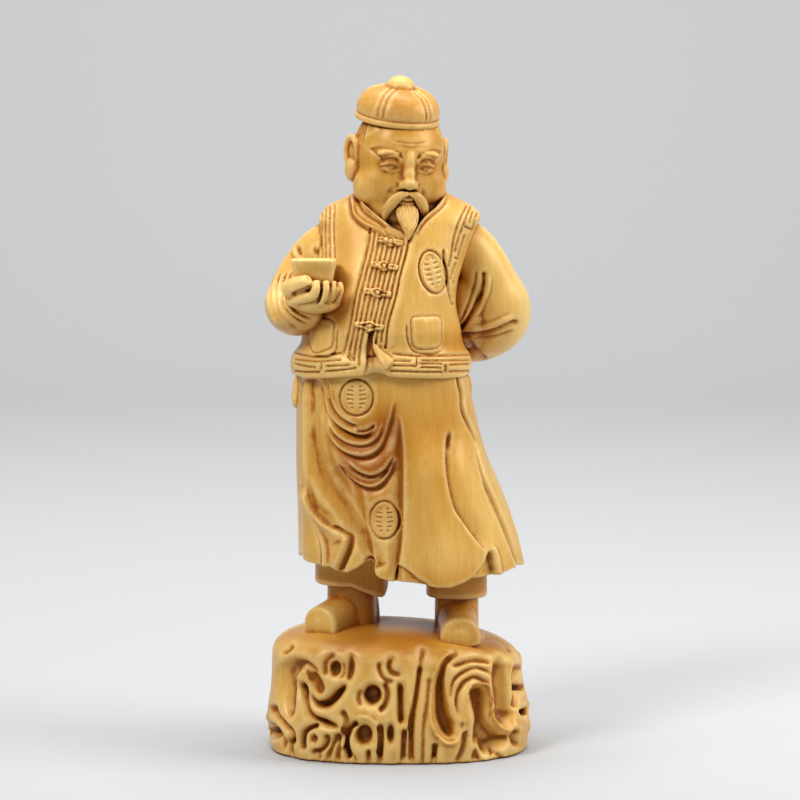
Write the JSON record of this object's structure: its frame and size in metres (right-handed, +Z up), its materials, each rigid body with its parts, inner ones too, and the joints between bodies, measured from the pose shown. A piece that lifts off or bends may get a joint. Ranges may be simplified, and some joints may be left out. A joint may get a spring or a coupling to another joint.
{
  "type": "boxwood carved rich man figure",
  "caption": "Boxwood carving of a standing rich man in a cap, vest and long robe, holding a small cup, in one piece with a root-carved oval base.",
  "frame": {"origin": "on the underside of the base, under the middle of the part's bounding box", "axes": "+Z up, -Y the way the figure faces, +X to the figure's left (right in the picture)"},
  "size_m": [0.0785, 0.0616, 0.2],
  "materials": {
    "boxwood": "hand-carved boxwood, scraped smooth and waxed to a soft satin, darker in the recesses"
  },
  "bodies": {
    "root": {"rich_man_carving": "boxwood"}
  },
  "joints": []
}
